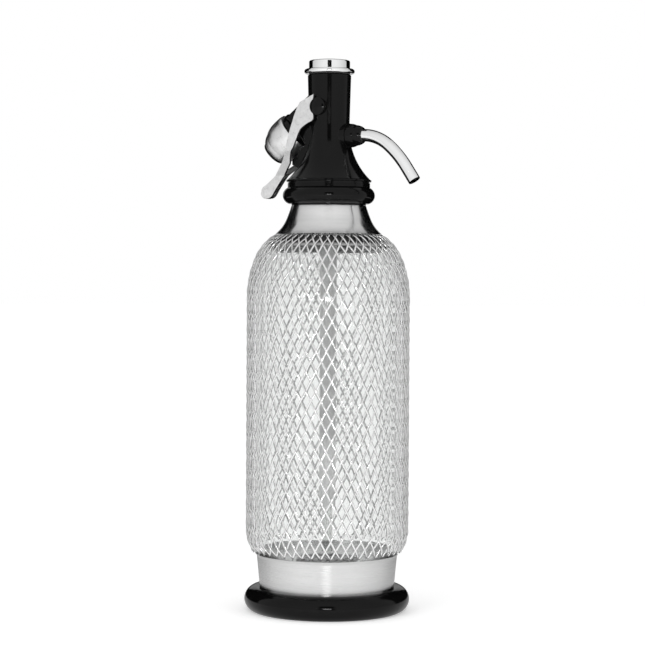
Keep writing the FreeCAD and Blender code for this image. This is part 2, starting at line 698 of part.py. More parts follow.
# Black spout nut, its seal and the bent chrome tube
def make_spout():
    hole = "spout_tube_radius"
    end = "spout_nut_length"
    nut = turned("nut", (hole, "spout_seal_depth"), ("spout_seal_radius", "spout_seal_depth"),
                 ("spout_seal_radius", "0"), ("spout_nut_radius - edge_round", "0"),
                 ("spout_nut_radius", "edge_round"), ("spout_nut_mid_radius", end + " / 2", "edge_round"),
                 ("spout_nut_mouth_radius", end + " - edge_round", "edge_round"),
                 ("spout_nut_mouth_radius - edge_round", end), (hole, end))
    node(along_spout(nut, "spout_boss_reach"), "spout_nut")
    seal = ring("nut_seal", hole, "spout_seal_radius", "0", "spout_seal_depth")
    node(along_spout(seal, "spout_boss_reach"), "spout_seal")

    tube = document.addObject("PartDesign::Body", "spout")
    flat = {feature.Role: feature for feature in tube.Origin.OriginFeatures}
    section = tube.newObject("Sketcher::SketchObject", "spout_section")
    section.AttachmentSupport = (flat["YZ_Plane"], [""])
    section.MapMode = "FlatFace"
    for radius in ("spout_tube_radius", "spout_tube_radius - spout_tube_wall"):
        index = section.addGeometry(Part.Circle(FreeCAD.Vector(0, 0, 0), FreeCAD.Vector(0, 0, 1), value(radius)))
        section.addConstraint(Sketcher.Constraint("Coincident", index, 3, -1, 1))
        rule = section.addConstraint(Sketcher.Constraint("Radius", index, value(radius)))
        section.setExpression("Constraints[%d]" % rule, bound(radius))

    # The path runs straight, bends sharply, sweeps gently and ends straight, all tangent.
    path = tube.newObject("Sketcher::SketchObject", "spout_path")
    path.AttachmentSupport = (flat["XZ_Plane"], [""])
    path.MapMode = "FlatFace"
    lean = "spout_bend_angle + spout_sweep_angle"
    start = "spout_straight - bore_radius - insert_clearance"
    bend_x = start + " + spout_bend_radius * sin(spout_bend_angle)"
    bend_z = "-spout_bend_radius * (1 - cos(spout_bend_angle))"
    sweep_x = bend_x + " + spout_sweep_radius * (sin(%s) - sin(spout_bend_angle))" % lean
    sweep_z = bend_z + " - spout_sweep_radius * (cos(spout_bend_angle) - cos(%s))" % lean
    draw(path, [("0", "0"), (start, "0"),
                (bend_x, bend_z, "-spout_bend_radius * (1 - cos(spout_bend_angle / 2))"),
                (sweep_x, sweep_z, "-spout_sweep_radius * (1 - cos(spout_sweep_angle / 2))"),
                (sweep_x + " + spout_end_run * cos(%s)" % lean, sweep_z + " - spout_end_run * sin(%s)" % lean)],
         closed=False)
    pipe = tube.newObject("PartDesign::AdditivePipe", "spout_pipe")
    pipe.Profile = section
    pipe.Spine = (path, ["Edge1", "Edge2", "Edge3", "Edge4"])
    node(place(tube, x="bore_radius + insert_clearance", z="spout_height"), "spout_tube")


# Charger inlet: black collar, nipple, piercing pin, seal and check ball
def make_inlet():
    node(along_inlet(turned(
        "inlet_collar_ring", ("nipple_radius", "0"), ("inlet_collar_radius - edge_round", "0"),
        ("inlet_collar_radius", "edge_round"), ("inlet_collar_radius", "inlet_collar - edge_round"),
        ("inlet_collar_radius - edge_round", "inlet_collar"), ("nipple_radius", "inlet_collar"))),
        "charger_collar")
    node(along_inlet(turned(
        "nipple", ("gas_bore_radius", "-nipple_root"), ("nipple_root_radius", "-nipple_root"),
        ("nipple_root_radius", "0"), ("nipple_radius", "0"), ("nipple_radius", "nipple_end - rim_bevel"),
        ("nipple_radius - rim_bevel", "nipple_end"), ("nipple_pocket_radius", "nipple_end"),
        ("nipple_pocket_radius", "nipple_pocket_floor"), ("gas_bore_radius", "nipple_pocket_floor"),
        ("gas_bore_radius", "0"), ("check_chamber_radius", "0"),
        ("check_chamber_radius", "-nipple_root + rim_bevel"), ("gas_bore_radius", "-nipple_root + rim_bevel"))),
        "charger_nipple")
    pin_hole = "pin_radius / 3"
    tip = "nipple_pocket_floor + pin_length"
    node(along_inlet(turned(
        "piercing", (pin_hole, "nipple_pocket_floor"), ("nipple_pocket_radius - snug_gap", "nipple_pocket_floor"),
        ("nipple_pocket_radius - snug_gap", "nipple_pocket_floor + pin_plate"),
        ("pin_radius", "nipple_pocket_floor + pin_plate"), ("pin_radius", tip + " - pin_radius * 2"),
        (pin_hole, tip))), "piercing_pin")
    node(along_inlet(ring("inlet_seal", "pin_radius + part_gap", "nipple_pocket_radius - snug_gap",
                          "nipple_pocket_floor + pin_plate", "nipple_pocket_floor + pin_plate + charger_seal")),
         "charger_seal")
    ball = document.addObject("Part::Sphere", "ball")
    bind(ball, Radius="check_ball_radius")
    reach = "nipple_root - rim_bevel - check_ball_radius - snug_gap"
    node(place(ball, x="-inlet_back + (%s) * cos(inlet_tilt)" % reach,
               z="inlet_height + (%s) * sin(inlet_tilt)" % reach), "check_ball")


# Chrome charger cap with its liner and black end disc
def make_charger_cap():
    mouth = "inlet_collar + part_gap"
    hole = "nipple_radius + part_gap"
    inner_end = "nipple_end + part_gap"
    node(along_inlet(turned(
        "cap", (hole, mouth), ("cap_mouth_radius", mouth), ("cap_radius", "cap_bulge_start", "edge_round / 3"),
        ("cap_radius", "cap_bulge_end", "edge_round / 3"),
        ("cap_shoulder_radius", "cap_shoulder", "edge_round"),
        ("cap_rim_radius", "cap_rim", "edge_round"), ("cap_disc_stub_radius", "cap_rim"),
        ("cap_disc_stub_radius", "cap_shoulder"), ("0", "cap_shoulder"), ("0", inner_end + " + cap_wall"),
        (hole, inner_end + " + cap_wall"))), "charger_cap")
    node(along_inlet(ring("cap_washer", "0", hole + " - snug_gap", inner_end, inner_end + " + cap_wall")),
         "cap_liner")
    node(along_inlet(turned(
        "end_disc", ("0", "cap_shoulder"), ("cap_disc_stub_radius", "cap_shoulder"),
        ("cap_disc_stub_radius", "cap_rim"), ("cap_disc_radius", "cap_rim"),
        ("cap_disc_radius", "cap_end - edge_round"), ("cap_disc_radius - edge_round", "cap_end"),
        ("0", "cap_end"))), "cap_end_disc")


# Chrome top cap, screwed into the column, with its seal
def make_top_cap():
    under = "head_top_height + cap_seat_gap"
    tier = "top_tier_radius - edge_round * 3"
    node(turned("top", ("0", "top_tier_high - top_plug_wall * 2"),
                ("top_plug_radius - top_plug_wall", "top_tier_high - top_plug_wall * 2"),
                ("top_plug_radius - top_plug_wall", "top_plug_low"), ("top_plug_radius", "top_plug_low"),
                ("top_plug_radius", under), ("top_flange_radius - top_flange_round / 3", under),
                ("top_flange_radius - top_flange_round / 3", "top_flange_high", "top_flange_round"),
                ("top_tier_radius", "top_flange_high"),
                ("top_tier_radius", "top_tier_high - edge_round * 2"),
                (tier, "top_tier_high + edge_round", "edge_round"),
                ("0", "top_height", dome(tier, "top_height - top_tier_high - edge_round"))), "top_cap")
    node(ring("top_ring", "top_seal_inner_radius", "column_top_radius - edge_round * 2", "head_top_height",
              under), "top_cap_seal")


# Valve stem with its head, rubber, nut and spring
def make_stem():
    node(ring("stem", "0", "stem_radius", "stem_low", "stem_head_high"), "valve_stem")
    node(ring("stem_plate", "stem_radius", "stem_head_radius", "stem_head_low", "stem_head_high"),
         "stem_head")
    node(ring("rubber", "stem_radius", "valve_rubber_radius", "stem_nut_top", "valve_seat_low"),
         "valve_rubber")
    node(ring("nut_ring", "stem_radius", "stem_nut_radius", "stem_low", "stem_nut_top"), "stem_nut")
    room = "stem_head_low - stem_guide_top - spring_wire_radius * 2 - spring_end_gap * 2"
    helix = document.addObject("Part::Helix", "spring_line")
    bind(helix, Radius="spring_radius", Height=room, Pitch="(%s) / spring_turns" % room)
    start = "stem_guide_top + spring_wire_radius + spring_end_gap"
    place(helix, z=start)
    wire = document.addObject("Part::Circle", "spring_wire")
    bind(wire, Radius="spring_wire_radius")
    place(wire, x="spring_radius", z=start, axis=(1, 0, 0), angle="90")
    spring = document.addObject("Part::Sweep", "spring")
    spring.Sections = [wire]
    spring.Spine = (helix, [])
    spring.Solid = True
    spring.Frenet = True
    node(spring, "valve_spring")


# Outlines of the lever seen from its side, in millimetres from the pivot at a reach of DRAWN_REACH.
DRAWN_REACH = 46.0
LEVER_BACK = [(-11.8, 2.9), (-14.5, -2.0, 0.15), (-17.3, -9.5, 0.1), (-19.9, -17.0, 0.1), (-21.5, -24.5),
              (-28.6, -33.4, -0.5)]
LEVER_TIP = [(-37.8, -41.6), (-43.2, -45.8), (-46.0, -49.4, 0.7), (-45.2, -52.8, 0.6), (-42.0, -53.6, 0.5),
             (-38.2, -51.7, 0.5)]
LEVER_FRONT = [(-28.6, -38.6, -0.3), (-22.4, -33.0), (-16.6, -24.0, -0.3), (-13.9, -18.0), (-11.3, -13.0, -0.2),
               (-5.0, -9.1, -0.3), (-2.8, -7.6, 0.3)]
LEVER_HORN = [(-2.4, 7.2)]
WEB_TOP = [(-31.5, -36.2)]
WEB_UNDER = [(-38.9, -50.5), (-42.2, -52.1, -0.5), (-44.1, -51.7, -0.4), (-44.6, -49.8, -0.4),
             (-42.3, -46.9, -0.5), (-36.9, -42.7), (-30.6, -37.3)]


def to_reach(corners):
    """Lever corners as expressions that follow the lever's reach."""
    return [tuple("(%s) * lever_reach / %s" % (number, DRAWN_REACH) for number in corner) for corner in corners]


# Lever: two arms with open bites at the pivot, pinched together into a narrow handle
def make_lever():
    bite_x = "-bite_radius * cos(bite_angle)"
    bite_z = "bite_radius * sin(bite_angle)"
    bite = [(bite_x, "-" + bite_z, "0.3"), (bite_x, bite_z, "-bite_radius * (1 - cos(bite_angle))")]
    outline = to_reach(LEVER_BACK + LEVER_TIP + LEVER_FRONT) + bite + to_reach(LEVER_HORN)
    side = place(slab("lever_side", "XZ_Plane", "arm_outer * 2", outline), z="pivot_height")

    lean = "atan((arm_outer - pinch_outer) / (pinch_end - pinch_start))"
    shift = "arm_sheet * tan((%s) / 2)" % lean
    inner_low = "pinch_outer - arm_sheet"
    inner_high = "arm_outer - arm_sheet"
    below = "-lever_reach * 1.5"
    above = "lever_reach / 2"
    plan = slab("lever_front", "YZ_Plane", "lever_reach * 3",
                [(inner_low, below), ("pinch_outer", below), ("pinch_outer", "-pinch_end"),
                 ("arm_outer", "-pinch_start"), ("arm_outer", above), (inner_high, above),
                 (inner_high, "-pinch_start + " + shift), (inner_low, "-pinch_end + " + shift)])
    arm = common("near_arm", side, place(plan, z="pivot_height"))
    mirror = document.addObject("Part::Mirroring", "far_arm")
    mirror.Source = arm
    mirror.Normal = FreeCAD.Vector(0, 1, 0)
    web = slab("web_line", "XZ_Plane", "pinch_outer * 2", to_reach(WEB_TOP + LEVER_TIP + WEB_UNDER))
    node(fused("lever_blank", arm, mirror, place(web, z="pivot_height")), "lever")

    hub = turned("hub", ("0", "arm_outer - arm_sheet"), ("bite_radius - snug_gap", "arm_outer - arm_sheet"),
                 ("bite_radius - snug_gap", "arm_outer"), ("pivot_cap_radius", "arm_outer"),
                 ("0", "arm_outer + pivot_cap_height", dome("pivot_cap_radius", "pivot_cap_height")))
    node(mirrored("hubs", sideways(hub, "0")), "pivot_caps")
    shaft = rod("pivot_bar", "shaft_radius", "(arm_outer - arm_sheet) * 2")
    node(sideways(shaft, "-arm_outer + arm_sheet"), "pivot_shaft")

    cheek = slab("cam_blank", "XZ_Plane", "cam_half_width * 2",
                 [("-cam_hub_radius", "pivot_height"),
                  ("-cam_nose_reach - cam_nose_radius", "pivot_height - cam_nose_drop"),
                  ("-cam_nose_reach + cam_nose_radius", "pivot_height - cam_nose_drop", "cam_nose_radius * 0.99"),
                  ("0", "pivot_height - cam_hub_radius + 0.1"), ("0", "pivot_height")])
    hub_rod = rod("cam_hub", "cam_hub_radius", "cam_half_width * 2")
    sideways(hub_rod, "-cam_half_width")
    bar = rod("cam_bore", "shaft_radius", "cam_half_width * 2 + 2")
    sideways(bar, "-cam_half_width - 1")
    node(cut("cam_cut", fused("cam_solid", cheek, hub_rod), bar), "valve_cam")


make_base()
make_mesh()
make_bottle()
make_head()
make_insert()
make_tubes()
make_spout()
make_inlet()
make_charger_cap()
make_top_cap()
make_stem()
make_lever()
document.recompute()

for item in document.Objects:
    if {"Invalid", "Error"} & set(item.State):
        raise RuntimeError("%s (%s) failed" % (item.Name, item.Label))
for item in nodes:
    if item.Shape.isNull() or not item.Shape.isValid() or not item.Shape.Solids:
        raise RuntimeError("%s has no valid solid" % item.Label)

os.makedirs("parts", exist_ok=True)
for item in nodes:
    item.Shape.exportStep("parts/%s.step" % item.Label)
    print("%-18s solids %d volume %9.1f" % (item.Label, len(item.Shape.Solids), item.Shape.Volume))
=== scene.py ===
import json
import math
import bpy
from mathutils import Matrix, Vector


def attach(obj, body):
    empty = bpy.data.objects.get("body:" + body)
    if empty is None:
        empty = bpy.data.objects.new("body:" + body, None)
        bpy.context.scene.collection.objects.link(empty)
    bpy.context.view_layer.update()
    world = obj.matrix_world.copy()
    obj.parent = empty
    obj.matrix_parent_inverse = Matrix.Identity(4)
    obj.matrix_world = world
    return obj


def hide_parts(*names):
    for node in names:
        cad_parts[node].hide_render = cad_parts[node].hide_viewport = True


# A glass soda siphon in a wire mesh sleeve: its looks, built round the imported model, in metres.

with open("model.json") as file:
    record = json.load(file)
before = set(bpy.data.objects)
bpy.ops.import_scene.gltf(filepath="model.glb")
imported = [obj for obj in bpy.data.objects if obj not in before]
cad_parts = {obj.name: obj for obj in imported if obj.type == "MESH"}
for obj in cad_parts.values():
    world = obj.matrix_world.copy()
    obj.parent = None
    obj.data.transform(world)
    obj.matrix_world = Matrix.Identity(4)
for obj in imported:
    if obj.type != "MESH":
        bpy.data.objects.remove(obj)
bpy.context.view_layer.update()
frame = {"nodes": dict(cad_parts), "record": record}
nodes = frame["nodes"]

MM = 0.001
VIEW_AZIMUTH = math.radians(30)


def join(tree, node, inputs):
    """Set a node's inputs from numbers and colours, or link them from sockets."""
    for name, put in inputs.items():
        socket = node.inputs[name]
        if isinstance(put, bpy.types.NodeSocket):
            tree.links.new(put, socket)
        else:
            socket.default_value = put


def add_node(tree, kind, inputs, **settings):
    """Add a shader node, with its inputs set from numbers and colours or linked from sockets."""
    node = tree.nodes.new("ShaderNode" + kind)
    for name, put in settings.items():
        setattr(node, name, put)
    join(tree, node, inputs)
    return node


def link(name, data):
    """A new object in the scene."""
    thing = bpy.data.objects.new(name, data)
    bpy.context.scene.collection.objects.link(thing)
    return thing


# Materials: a mix node's sockets share their names, so they are known by their places
MIX_NUMBER_A = 2
MIX_NUMBER_B = 3
MIX_COLOUR_A = 6
MIX_COLOUR_B = 7
MIX_COLOUR_RESULT = 2


class Finish:
    """A material in the making, with a short way to add nodes and to join them."""

    def __init__(self, name, **settings):
        self.material = bpy.data.materials.new(name)
        self.material.use_nodes = True
        self.tree = self.material.node_tree
        self.shader = self.tree.nodes["Principled BSDF"]
        self.paint(**settings)

    def add(self, kind, inputs, output=0, **settings):
        """Add a node and give back one of its outputs."""
        return add_node(self.tree, kind, inputs, **settings).outputs[output]

    def paint(self, **inputs):
        """Give sockets of the shader their numbers or textures, and give back the material."""
        join(self.tree, self.shader, {name.replace("_", " "): put for name, put in inputs.items()})
        return self.material

    def point(self, scale):
        """The point on the object, in metres, stretched by a scale along each axis."""
        place = self.add("TexCoord", {}, "Object")
        return self.add("VectorMath", {0: place, 1: scale}, operation="MULTIPLY")

    def noise(self, scale, detail=3.0, roughness=0.55):
        """Noise with that many waves to the metre along each axis."""
        steps = scale if isinstance(scale, tuple) else (scale,) * 3
        return self.add("TexNoise", {"Vector": self.point(steps), "Scale": 1.0, "Detail": detail,
                                     "Roughness": roughness})

    def spread(self, source, low, high, start=0.3, end=0.7):
        """A number that goes from low to high as the source goes from start to end."""
        return self.add("MapRange", {"Value": source, "From Min": start, "From Max": end,
                                     "To Min": low, "To Max": high})

    def tones(self, source, dark, light):
        """A colour between two greys or tints."""
        ends = {MIX_COLOUR_A: tuple(dark) + (1.0,), MIX_COLOUR_B: tuple(light) + (1.0,)}
        return self.add("Mix", {"Factor": source, **ends}, MIX_COLOUR_RESULT, data_type="RGBA")

    def bump(self, height, depth, strength=1.0):
        """A relief of a depth in metres."""
        return self.add("Bump", {"Height": height, "Distance": depth, "Strength": strength})

    def wear(self, radius):
        """A mask that is 1 on sharp edges and fades out within a radius."""
        soft = self.add("Bevel", {"Radius": radius}, samples=4)
        true = self.add("NewGeometry", {}, "Normal")
        match = self.add("VectorMath", {0: soft, 1: true}, "Value", operation="DOT_PRODUCT")
        return self.spread(match, 1.0, 0.0, 0.80, 0.985)


def grey(level):
    """A neutral colour of one level."""
    return (level, level, level)


def black_plastic():
    """Glossy black moulding with faint smears and a very fine skin."""
    made = Finish("black_plastic_gloss", Specular_IOR_Level=0.15, IOR=1.5)
    smears = made.noise(70.0, 4.0)
    skin = made.noise(900.0, 2.0)
    edges = made.wear(0.5 * MM)
    return made.paint(Base_Color=made.tones(edges, grey(0.003), grey(0.015)),
                      Roughness=made.spread(smears, 0.07, 0.17),
                      Normal=made.bump(skin, 0.006 * MM, 0.6))


def soft_plastic(name, dark, light, rough):
    """Moulded plastic or rubber with a matt, fine-grained skin."""
    made = Finish(name, IOR=1.48)
    cloud = made.noise(90.0, 3.0)
    grain = made.noise(2600.0, 2.0)
    return made.paint(Base_Color=made.tones(cloud, dark, light),
                      Roughness=made.spread(cloud, rough - 0.06, rough + 0.08),
                      Normal=made.bump(grain, 0.02 * MM, 0.5))


LINER_FADE_HEIGHTS = (217.0 * MM, 220.5 * MM)
# Radii over which painted shade darkens the seat towards the sleeve's rim, and the strength of the
# seat's painted glow
SEAT_RIM_PAINTED_SHADE_RADII = (36.0 * MM, 42.0 * MM)
SEAT_PAINTED_GLOW = 0.6


def shoulder_liner():
    """Dark plastic under the wires at the neck that fades to a pale lower edge."""
    made = Finish("dark_liner_plastic", IOR=1.48)
    height = made.add("SeparateXYZ", {0: made.point((1, 1, 1))}, "Z")
    fade = made.spread(height, 1.0, 0.0, *LINER_FADE_HEIGHTS)
    grain = made.noise(2600.0, 2.0)
    return made.paint(Base_Color=made.tones(fade, grey(0.012), grey(0.90)),
                      Roughness=made.spread(made.noise(90.0), 0.38, 0.52),
                      Normal=made.bump(grain, 0.02 * MM, 0.5))


def seat_plastic():
    """Pale plastic under the bottle, with painted shade that darkens it where it meets the rim of the
    sleeve.

    Its faint glow is painted light that stands in for the light that reaches it through the thick glass.
    """
    made = Finish("seat_plastic_pale", IOR=1.48)
    radius = made.add("VectorMath", {0: made.point((1, 1, 0))}, "Value", operation="LENGTH")
    # Painted shade: the seat turns dark towards the rim of the sleeve
    rim = made.spread(radius, 0.0, 1.0, *SEAT_RIM_PAINTED_SHADE_RADII)
    grain = made.noise(2600.0, 2.0)
    tone = made.tones(rim, grey(0.95), grey(0.02))
    # The emission is painted light, a glow that stands in for light coming through the glass
    return made.paint(Base_Color=tone, Emission_Color=tone, Emission_Strength=SEAT_PAINTED_GLOW,
                      Roughness=made.spread(made.noise(90.0), 0.40, 0.55),
                      Normal=made.bump(grain, 0.02 * MM, 0.5))


def turned_steel(name, level, rough, depth):
    """Steel brushed round the upright axis, with fine rings of uneven tone."""
    made = Finish(name, Metallic=1.0, Anisotropic=0.85, Anisotropic_Rotation=0.25)
    rings = made.noise((26.0, 26.0, 5200.0), 4.0, 0.7)
    drift = made.noise((14.0, 14.0, 220.0), 2.0)
    tangent = made.add("Tangent", {}, direction_type="RADIAL", axis="Z")
    tone = made.spread(made.add("Math", {0: rings, 1: drift}, operation="ADD"), 0.0, 1.0, 0.7, 1.3)
    light = (level + 0.03, level + 0.03, level + 0.028)
    return made.paint(Base_Color=made.tones(tone, grey(level - 0.07), light),
                      Roughness=made.spread(rings, rough - 0.05, rough + 0.07),
                      Normal=made.bump(rings, depth, 0.35), Tangent=tangent)


def plain_metal(name, tint, rough, shade=0.9):
    """Cast or drawn metal with cloudy roughness and small scratches."""
    made = Finish(name, Metallic=1.0)
    cloud = made.noise(160.0, 4.0)
    scratches = made.noise((300.0, 5200.0, 900.0), 3.0)
    return made.paint(Base_Color=made.tones(cloud, [part * shade for part in tint], tint),
                      Roughness=made.spread(cloud, rough - 0.04, rough + 0.08),
                      Normal=made.bump(scratches, 0.008 * MM, 0.4))


def chrome():
    """Bright plating with faint smears."""
    made = Finish("chrome_plate", Metallic=1.0)
    smears = made.noise(110.0, 4.0)
    ripple = made.noise(420.0, 1.0)
    return made.paint(Base_Color=made.tones(smears, grey(0.80), (0.88, 0.885, 0.89)),
                      Roughness=made.spread(smears, 0.03, 0.10),
                      Normal=made.bump(ripple, 0.01 * MM, 0.5))


def satin_chrome():
    """Plating over a tumbled casting: satin, mottled, polished bright along its edges."""
    made = Finish("satin_chrome_plate", Metallic=1.0)
    mottle = made.noise(330.0, 5.0, 0.65)
    grain = made.noise(3000.0, 2.0)
    edges = made.wear(0.6 * MM)
    rough = made.spread(mottle, 0.24, 0.42)
    return made.paint(Base_Color=made.tones(made.spread(mottle, 0.0, 1.0), grey(0.62), grey(0.80)),
                      Roughness=made.add("MapRange", {"Value": edges, "To Min": rough, "To Max": 0.12}),
                      Normal=made.bump(grain, 0.012 * MM, 0.5))


def wire():
    """Bright drawn wire."""
    made = Finish("mesh_wire_metal", Metallic=1.0)
    cloud = made.noise(500.0, 3.0)
    return made.paint(Base_Color=made.tones(cloud, grey(0.74), grey(0.90)),
                      Roughness=made.spread(cloud, 0.10, 0.22),
                      Normal=made.bump(made.noise(4000.0, 1.0), 0.006 * MM, 0.4))


def glass(name, tint, rough):
    """Clear glass or clear plastic, with faint smears and a slow wave in its surface."""
    made = Finish(name, Transmission_Weight=1.0, IOR=1.47)
    smears = made.noise(60.0, 4.0)
    wave = made.noise((38.0, 38.0, 12.0), 1.0)
    return made.paint(Base_Color=made.tones(smears, tint, [min(part + 0.02, 1.0) for part in tint]),
                      Roughness=made.spread(smears, rough, rough + 0.03),
                      Normal=made.bump(wave, 0.12 * MM, 0.4))


FINISHES = {
    "black_plastic": black_plastic(),
    "grey_plastic": soft_plastic("grey_plastic_moulded", grey(0.84), grey(0.92), 0.42),
    "nylon": soft_plastic("nylon_moulded", (0.66, 0.64, 0.58), (0.74, 0.72, 0.66), 0.38),
    "dark_liner": shoulder_liner(),
    "rubber": soft_plastic("seal_rubber", grey(0.016), grey(0.03), 0.68),
    "brushed_steel": turned_steel("brushed_steel_band", 0.70, 0.26, 0.010 * MM),
    "polished_steel": turned_steel("polished_steel_collar", 0.74, 0.20, 0.006 * MM),
    "wire_mesh": wire(),
    "steel": plain_metal("machined_steel", (0.60, 0.59, 0.57), 0.28),
    "chrome": chrome(),
    "satin_chrome": satin_chrome(),
    "brass": plain_metal("machined_brass", (0.86, 0.62, 0.30), 0.26, 0.85),
    "clear_glass": glass("clear_glass_bottle", (0.90, 0.906, 0.903), 0.0),
    "clear_tube": glass("clear_plastic_tube", (0.84, 0.85, 0.84), 0.10),
}
OWN_FINISHES = {
    "neck_thread_ring": plain_metal("blackened_thread_metal", grey(0.05), 0.34),
    "bottle_seat": seat_plastic(),
}


def dress(piece, slot):
    """Give a piece its own finish, or else the finish of its slot of the record."""
    piece.data.materials.clear()
    piece.data.materials.append(OWN_FINISHES.get(piece.name, FINISHES[slot]))


def dress_nodes():
    """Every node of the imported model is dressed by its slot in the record."""
    for part in frame["record"]["subparts"]:
        dress(nodes[part["node"]], part["material_slot"])


def mesh_piece(name, points, faces, slot, body):
    """A new piece from points and faces, smooth, with the finish of a slot, riding on a body."""
    mesh = bpy.data.meshes.new(name)
    mesh.from_pydata(points, [], faces)
    mesh.polygons.foreach_set("use_smooth", [True] * len(mesh.polygons))
    piece = link(name, mesh)
    dress(piece, slot)
    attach(piece, body)
    return piece


# Wire mesh sleeve, in mm: each corner's radius, its height and the outward bulge of the way to it
SLEEVE_CORNERS = [
    (45.3, 35.4, 0),
    (49.0, 48.0, 0.9),
    (49.0, 188.0, 0),
    (43.5, 213.0, 1.37),
    (32.0, 225.5, 1.28),
]
STEPS_PER_CORNER = 60
SLEEVE_HALF_THICKNESS = 0.7
WIRES_EACH_WAY = 50
DIAMOND_LENGTH = 11.6
STEPS_PER_DIAMOND = 8
WIRE_HALF_WIDTH = 0.58
WIRE_HALF_THICKNESS = 0.33
WEAVE = 0.33
WIRE_SIDES = 8


def arc_points(start, end, bulge, count):
    """Points after the start of an arc that bulges to the right of the way from start to end."""
    if not bulge:
        return [start + (end - start) * (step / count) for step in range(1, count + 1)]
    half = (end - start).length / 2
    radius = (half ** 2 + bulge ** 2) / (2 * bulge)
    side = Vector((end.y - start.y, start.x - end.x)).normalized()
    centre = (start + end) / 2 + side * (bulge - radius)
    turn = 2 * math.asin(half / radius)
    first = start - centre
    points = []
    for step in range(1, count + 1):
        angle = turn * step / count
        points.append(centre + Vector((first.x * math.cos(angle) - first.y * math.sin(angle),
                                       first.x * math.sin(angle) + first.y * math.cos(angle))))
    return points


def sleeve_line():
    """Even steps up the middle of the sleeve's wall: distance, radius, height, outward normal."""
    points = [Vector(SLEEVE_CORNERS[0][:2])]
    for radius, height, bulge in SLEEVE_CORNERS[1:]:
        points += arc_points(points[-1], Vector((radius, height)), bulge, STEPS_PER_CORNER)
    normals = []
    for index in range(len(points)):
        along = points[min(index + 1, len(points) - 1)] - points[max(index - 1, 0)]
        normals.append(Vector((along.y, -along.x)).normalized())
    middle = [point - normal * SLEEVE_HALF_THICKNESS for point, normal in zip(points, normals)]
    reach = [0.0]
    for before, after in zip(middle, middle[1:]):
        reach.append(reach[-1] + (after - before).length)
    step_length = DIAMOND_LENGTH / STEPS_PER_DIAMOND
    count = int(reach[-1] / step_length)
    line = []
    index = 0
    for step in range(count + 1):
        distance = reach[-1] * step / count
        while index < len(reach) - 2 and reach[index + 1] < distance:
            index += 1
        share = (distance - reach[index]) / (reach[index + 1] - reach[index])
        point = middle[index].lerp(middle[index + 1], share)
        normal = normals[index].lerp(normals[index + 1], share).normalized()
        line.append((distance, point.x, point.y, normal))
    return line


def wire_rings(line, first_angle, way):
    """The rings of section points of one wire that winds up the sleeve, over and under the others."""
    places = []
    for distance, radius, height, normal in line:
        angle = first_angle + way * 2 * math.pi / WIRES_EACH_WAY * distance / DIAMOND_LENGTH
        lift = way * WEAVE * math.cos(2 * math.pi * distance / DIAMOND_LENGTH)
        out = Vector((normal.x * math.cos(angle), normal.x * math.sin(angle), normal.y))
        flat = radius + normal.x * lift
        centre = Vector((flat * math.cos(angle), flat * math.sin(angle), height + normal.y * lift))
        places.append((centre, out))
    rings = []
    for index, (centre, out) in enumerate(places):
        along = places[min(index + 1, len(places) - 1)][0] - places[max(index - 1, 0)][0]
        side = along.cross(out).normalized()
        ring = []
        for corner in range(WIRE_SIDES):
            turn = 2 * math.pi * corner / WIRE_SIDES
            across = side * (WIRE_HALF_WIDTH * math.cos(turn))
            ring.append((centre + across + out * (WIRE_HALF_THICKNESS * math.sin(turn))) * MM)
        rings.append(ring)
    return rings


def tube_faces(first, rings, sides):
    """Faces of a closed tube whose points start at a number."""
    faces = []
    for ring in range(rings - 1):
        low = first + ring * sides
        for corner in range(sides):
            after = (corner + 1) % sides
            faces.append((low + corner, low + corner + sides, low + after + sides, low + after))
    last = first + (rings - 1) * sides
    faces.append(tuple(first + corner for corner in range(sides)))
    faces.append(tuple(last + corner for corner in reversed(range(sides))))
    return faces


def make_mesh_wires():
    """Bright wires that wind up the sleeve both ways, woven over and under each other."""
    line = sleeve_line()
    points = []
    faces = []
    for way in (1, -1):
        for number in range(WIRES_EACH_WAY):
            rings = wire_rings(line, 2 * math.pi * number / WIRES_EACH_WAY, way)
            faces += tube_faces(len(points), len(rings), WIRE_SIDES)
            for ring in rings:
                points += ring
    wires = mesh_piece("mesh_wires", points, faces, "wire_mesh", "bottle")
    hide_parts("mesh_sleeve")


# Studio: a pale floor, white surroundings, soft lamps and dark flags for the reflections
def towards(thing, place, target):
    """Put an object at a place, facing a target."""
    thing.location = place
    thing.rotation_euler = (Vector(target) - Vector(place)).to_track_quat("-Z", "Y").to_euler()


def round_the_part(azimuth, distance, height):
    """A place at an azimuth from the camera's side, in degrees, positive to the camera's right."""
    angle = VIEW_AZIMUTH + math.radians(azimuth)
    return Vector((math.sin(angle) * distance, -math.cos(angle) * distance, height))


def maths(tree, operation, first, second):
    """A sum of two numbers or sockets, held between 0 and 1."""
    return add_node(tree, "Math", {0: first, 1: second}, operation=operation, use_clamp=True).outputs[0]


def looking_past(tree):
    """1 for rays that look straight, in a reflection or through glass, and 0 for light that falls."""
    rays = add_node(tree, "LightPath", {}).outputs
    seen = maths(tree, "MAXIMUM", rays["Is Camera Ray"], rays["Is Glossy Ray"])
    return maths(tree, "MAXIMUM", seen, rays["Is Transmission Ray"])


